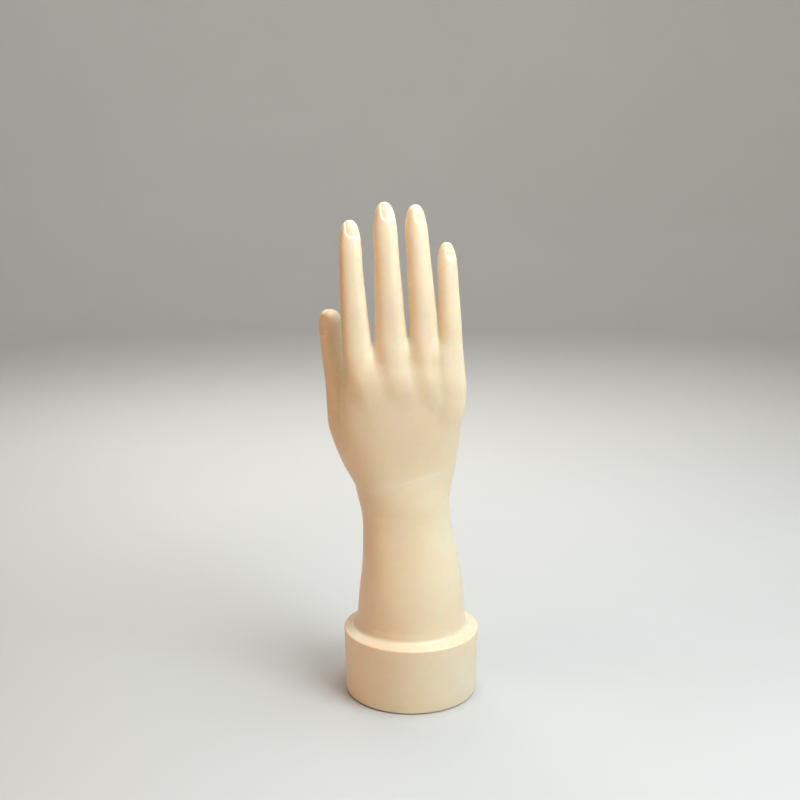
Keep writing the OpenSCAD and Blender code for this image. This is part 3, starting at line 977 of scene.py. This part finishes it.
def painted_seam_highlight(tree):
    """A painted highlight: a weak mask along the middle of the wrist joint, fading to 0 at its
    ends.
    """
    axes = place_axes(tree)
    line = add_range(tree, off_seam(tree, axes), SEAM_HIGHLIGHT_STRENGTH, 0.0, SEAM_HIGHLIGHT_CORE, SEAM_HIGHLIGHT_EDGE)
    for start, end in SEAM_HIGHLIGHT_FADES:
        line = add_math(tree, "MULTIPLY", line, add_range(tree, axes["X"], 0.0, 1.0, start, end))
    return line


def scatter_weight(tree, seamed):
    """1 inside the plastic, falling to 0 at its joints, where light can't pass the gap."""
    axes = place_axes(tree)
    if seamed:
        above = add_math(tree, "ABSOLUTE", add_math(tree, "SUBTRACT", axes["Z"], LEDGE_Z * MM))
        near = add_math(tree, "MINIMUM", off_seam(tree, axes), above)
    else:
        square = add_math(tree, "MULTIPLY", axes["X"], axes["X"])
        squares = add_math(tree, "MULTIPLY_ADD", axes["Y"], axes["Y"], square)
        radius = add_math(tree, "SQRT", squares)
        near = add_math(tree, "SUBTRACT", radius, FLANGE_R * MM)
    return add_range(tree, near, 0.0, 1.0, SCATTER_FROM, SCATTER_TO)


def cream_plastic(name, low, high, scatter, seamed=False):
    """Moulded plastic with cloudy colour, sparse specks, soft handling marks and fine grain."""
    material, tree, shader = new_material(name, 0.4, ior=1.49)
    cloud = add_noise(tree, 26.0)
    mottle = add_noise(tree, 150.0, 5.0, 0.6)
    tint = add_ramp(tree, cloud, low, high)
    warm = tuple(c * f for c, f in zip(low, (1.0, 0.93, 0.82)))
    tint = blend_colour(tree, add_range(tree, mottle, 0.0, 0.35, 0.5, 0.8), tint, warm)
    specks = add_specks(tree, 95.0, 0.026)
    tint = blend_colour(tree, specks, tint, (0.42, 0.26, 0.12))
    # Painted highlight: a lighter line along the wrist joint, fading out at both ends.
    if seamed:
        tint = blend_colour(tree, painted_seam_highlight(tree), tint, (0.95, 0.88, 0.74))
    tree.links.new(tint, shader.inputs["Base Color"])
    marks = add_noise(tree, 60.0, 6.0, 0.7, (1, 1, 4))
    tree.links.new(add_range(tree, marks, 0.36, 0.5), shader.inputs["Roughness"])
    shader.inputs["Specular IOR Level"].default_value = 0.7
    tree.links.new(scatter_weight(tree, seamed), shader.inputs["Subsurface Weight"])
    shader.inputs["Subsurface Radius"].default_value = (1.0, 0.4, 0.14)
    shader.inputs["Subsurface Scale"].default_value = scatter
    shader.inputs["Subsurface Anisotropy"].default_value = 0.0
    grain = add_noise(tree, 1400.0, 3.0)
    ripple = add_noise(tree, 110.0, 2.0)
    add_bump(tree, shader, [(ripple, 0.05, 0.0006), (grain, 0.05, 0.0001)])
    return material


def nylon(name, low, high, rough):
    """Natural nylon: slightly translucent, with fine turning marks round the axis."""
    material, tree, shader = new_material(name, rough, ior=1.53)
    tree.links.new(add_ramp(tree, add_noise(tree, 90.0), low, high), shader.inputs["Base Color"])
    shader.inputs["Subsurface Weight"].default_value = 0.4
    shader.inputs["Subsurface Radius"].default_value = (1.0, 0.9, 0.7)
    shader.inputs["Subsurface Scale"].default_value = 0.0012
    turned = add_noise(tree, 500.0, 2.0, 0.5, (0.05, 0.05, 3.0))
    grain = add_noise(tree, 1800.0, 2.0)
    add_bump(tree, shader, [(turned, 0.12, 0.0001), (grain, 0.08, 0.0001)])
    tree.links.new(add_range(tree, turned, rough - 0.06, rough + 0.08), shader.inputs["Roughness"])
    return material


def matte_plastic():
    """Spark-eroded cover plate, with scuffs scattered over it."""
    material, tree, shader = new_material("cover_plastic", 0.6)
    tint = add_ramp(tree, add_noise(tree, 60.0), (0.66, 0.52, 0.34), (0.74, 0.6, 0.41))
    scuffs = add_range(tree, add_noise(tree, 220.0, 6.0, 0.75, (1, 6, 1)), 0.0, 0.5, 0.6, 0.75)
    tint = blend_colour(tree, scuffs, tint, (0.84, 0.74, 0.58))
    tree.links.new(tint, shader.inputs["Base Color"])
    tree.links.new(add_range(tree, scuffs, 0.62, 0.45, 0.0, 0.5), shader.inputs["Roughness"])
    add_bump(tree, shader, [(add_noise(tree, 2200.0, 3.0), 0.35, 0.0001)])
    return material


def metal(name, low, high, rough, marks, stain=None):
    """Metal with cloudy colour, fine marks at the given stretch and random patches of any stain."""
    material, tree, shader = new_material(name, rough, metallic=1.0)
    tint = add_ramp(tree, add_noise(tree, 180.0, 5.0), low, high)
    if stain is not None:
        patches = add_range(tree, add_noise(tree, 320.0, 6.0, 0.7), 0.0, 0.6, 0.55, 0.72)
        tint = blend_colour(tree, patches, tint, stain)
    tree.links.new(tint, shader.inputs["Base Color"])
    fine = add_noise(tree, 700.0, 4.0, 0.6, marks)
    tree.links.new(add_range(tree, fine, rough - 0.08, rough + 0.12), shader.inputs["Roughness"])
    add_bump(tree, shader, [(fine, 0.15, 0.0001)])
    return material


def cast_iron():
    """Rough sand casting with thin dark paint worn off its high grains."""
    material, tree, shader = new_material("cast_iron", 0.7, metallic=0.6)
    sand = add_noise(tree, 900.0, 6.0, 0.7)
    lumps = add_noise(tree, 140.0, 3.0)
    tint = add_ramp(tree, lumps, (0.035, 0.035, 0.038), (0.075, 0.072, 0.07))
    worn = add_range(tree, sand, 0.0, 0.7, 0.58, 0.72)
    tint = blend_colour(tree, worn, tint, (0.2, 0.19, 0.18))
    tree.links.new(tint, shader.inputs["Base Color"])
    tree.links.new(add_range(tree, sand, 0.8, 0.5), shader.inputs["Roughness"])
    add_bump(tree, shader, [(lumps, 0.3, 0.0006), (sand, 0.5, 0.0002)])
    return material


def rubber():
    """Black rubber with a dusty bloom and a fine moulded grain."""
    material, tree, shader = new_material("rubber", 0.8)
    bloom = add_noise(tree, 70.0, 6.0, 0.7)
    tint = add_ramp(tree, bloom, (0.012, 0.012, 0.012), (0.045, 0.043, 0.04), 0.4, 0.8)
    tree.links.new(tint, shader.inputs["Base Color"])
    tree.links.new(add_range(tree, bloom, 0.68, 0.9), shader.inputs["Roughness"])
    add_bump(tree, shader, [(add_noise(tree, 1600.0, 3.0), 0.4, 0.00015)])
    return material


# ---------------------------------------------------------------- camera, light and floor


SENSOR_W, LENS = 36.0, 54.1
CAMERA_AT, CAMERA_DOWN = (-7.09 * MM, -718.1 * MM, 341.5 * MM), 12.08


def camera_at_photo_angle():
    data = bpy.data.cameras.new("camera")
    data.sensor_width = SENSOR_W
    data.lens = LENS
    made = bpy.data.objects.new("camera", data)
    made.location = CAMERA_AT
    made.rotation_euler = (math.radians(90 - CAMERA_DOWN), 0, 0)
    bpy.context.scene.collection.objects.link(made)
    bpy.context.scene.camera = made


def area_light(name, place, target, size, power, color):
    """A round light; places and size in metres, power in watts."""
    data = bpy.data.lights.new(name, "AREA")
    data.shape = "DISK"
    data.size = size
    data.energy = power
    data.color = color
    made = bpy.data.objects.new(name, data)
    made.location = place
    direction = np.array(target) - np.array(place)
    made.rotation_euler = (
        math.acos(-direction[2] / np.linalg.norm(direction)),
        0,
        math.atan2(direction[1], direction[0]) - math.pi / 2,
    )
    bpy.context.scene.collection.objects.link(made)


# Each lamp: place, the point it aims at, size, power and colour, in metres and watts.
LAMPS = {
    "key": ((0.48, -0.42, 0.68), (0, 0, 0.2), 0.6, 7.0, (0.85, 0.95, 1.0)),
    "top": ((0.1, 0.0, 0.95), (0, 0, 0.1), 0.55, 6.4, (0.88, 0.96, 1.0)),
    "warm_fill": ((-0.8, -0.55, 0.3), (0, 0, 0.15), 0.7, 2.6, (1.0, 0.42, 0.08)),
    "back_fill": ((-0.25, 0.75, 0.7), (0, 0, 0.15), 0.7, 1.8, (1.0, 0.95, 0.88)),
}
# Lights that look outward at the wall, strongest behind the hand: direction and power.
WALL_LAMPS = ((90, 13.0), (210, 0.7), (330, 1.4))
WALL_LAMP_OUT, WALL_LAMP_H, WALL_LAMP_SIZE, WHITE = 0.5, 1.1, 1.2, (1.0, 0.99, 0.97)
WALL_AIM_OUT, WALL_AIM_H = 1.9, 0.5
ROOM_COLOUR, ROOM_STRENGTH = (1.0, 0.86, 0.68, 1), 0.06
# The floor is a wide bowl: radius of its flat, radius of its bend and height of its wall.
FLOOR_FLAT, FLOOR_BEND, FLOOR_WALL, FLOOR_EYE = 1.5, 0.7, 3.0, 0.002
FLOOR_SEGMENTS = 96
FLOOR_LOW, FLOOR_HIGH = (0.55, 0.54, 0.52), (0.57, 0.56, 0.54)


def lamps():
    for name, (place, target, size, power, color) in LAMPS.items():
        area_light(name, place, target, size, power, color)
    for turn, power in WALL_LAMPS:
        x, y = math.cos(math.radians(turn)), math.sin(math.radians(turn))
        place = (WALL_LAMP_OUT * x, WALL_LAMP_OUT * y, WALL_LAMP_H)
        target = (WALL_AIM_OUT * x, WALL_AIM_OUT * y, WALL_AIM_H)
        area_light(f"wall_{turn}", place, target, WALL_LAMP_SIZE, power, WHITE)


def room():
    world = bpy.data.worlds.new("room")
    world.use_nodes = True
    back = world.node_tree.nodes["Background"]
    back.inputs["Color"].default_value = ROOM_COLOUR
    back.inputs["Strength"].default_value = ROOM_STRENGTH
    bpy.context.scene.world = world
    bpy.context.scene.view_settings.view_transform = "Standard"


def pale_floor():
    profile = [(FLOOR_EYE, 0.0), (FLOOR_FLAT, 0.0)]
    profile += arc((FLOOR_FLAT, FLOOR_BEND), FLOOR_BEND, -90, 0, 16)[1:]
    profile.append((FLOOR_FLAT + FLOOR_BEND, FLOOR_WALL))
    angle = np.arange(FLOOR_SEGMENTS) * 2 * math.pi / FLOOR_SEGMENTS
    rings = [
        np.stack([r * np.cos(angle), r * np.sin(angle), np.full(FLOOR_SEGMENTS, z)], axis=1)
        for r, z in profile
    ]
    points, faces = skinned(rings, closed=False)
    mesh = bpy.data.meshes.new("floor")
    mesh.from_pydata(points.tolist(), [], faces)
    mesh.shade_smooth()
    floor = bpy.data.objects.new("floor", mesh)
    bpy.context.scene.collection.objects.link(floor)
    material, tree, shader = new_material("pale_floor", 0.7)
    tint = add_ramp(tree, add_noise(tree, 3.0), FLOOR_LOW, FLOOR_HIGH)
    tree.links.new(tint, shader.inputs["Base Color"])
    mesh.materials.append(material)


# ---------------------------------------------------------------- the build

camera_at_photo_angle()
lamps()
room()
pale_floor()

CREAM_LOW, CREAM_HIGH = (0.79, 0.655, 0.455), (0.83, 0.71, 0.52)
CREAM_SCATTER = 3.0 * MM
cream = cream_plastic("cream_plastic", CREAM_LOW, CREAM_HIGH, CREAM_SCATTER, seamed=True)
base_cream = cream_plastic("base_plastic", CREAM_LOW, CREAM_HIGH, CREAM_SCATTER)
natural = nylon("nylon", (0.72, 0.69, 0.6), (0.8, 0.78, 0.7), 0.5)
slick = nylon("bush_nylon", (0.76, 0.74, 0.67), (0.84, 0.82, 0.76), 0.36)
ZINC_STAIN, BRASS_STAIN = (0.4, 0.42, 0.47), (0.42, 0.27, 0.1)
zinc = metal("zinc_steel", (0.5, 0.51, 0.54), (0.66, 0.66, 0.67), 0.3, (1, 1, 0.2), ZINC_STAIN)
spring = metal("spring_steel", (0.3, 0.3, 0.31), (0.44, 0.43, 0.42), 0.34, (0.2, 1, 1))
brass = metal("brass", (0.68, 0.47, 0.18), (0.8, 0.6, 0.27), 0.3, (1, 1, 0.15), BRASS_STAIN)

finish_piece(build_hand(), "arm", cream, ["hand_shell"])
finish_piece(build_forearm(), "arm", cream, ["forearm_shell"])
finish_piece(build_sleeve(), "arm", natural, ["wrist_sleeve"])
finish_piece(build_base(), "base", base_cream, ["base_shell"])
for post in build_posts():
    finish_piece(post, "base", base_cream)
finish_piece(build_pad(), "base", rubber(), ["foot_pad"])

NODE_MATERIALS = {
    "foot_plug": natural,
    "threaded_insert": brass,
    "pivot_bolt": zinc,
    "flat_washer": zinc,
    "wave_washer": spring,
    "pivot_bush": slick,
    "ballast_ring": cast_iron(),
    "bottom_cover": matte_plastic(),
    "cover_screws": zinc,
}
for name, material in NODE_MATERIALS.items():
    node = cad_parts[name]
    node.data.materials.clear()
    node.data.materials.append(material)
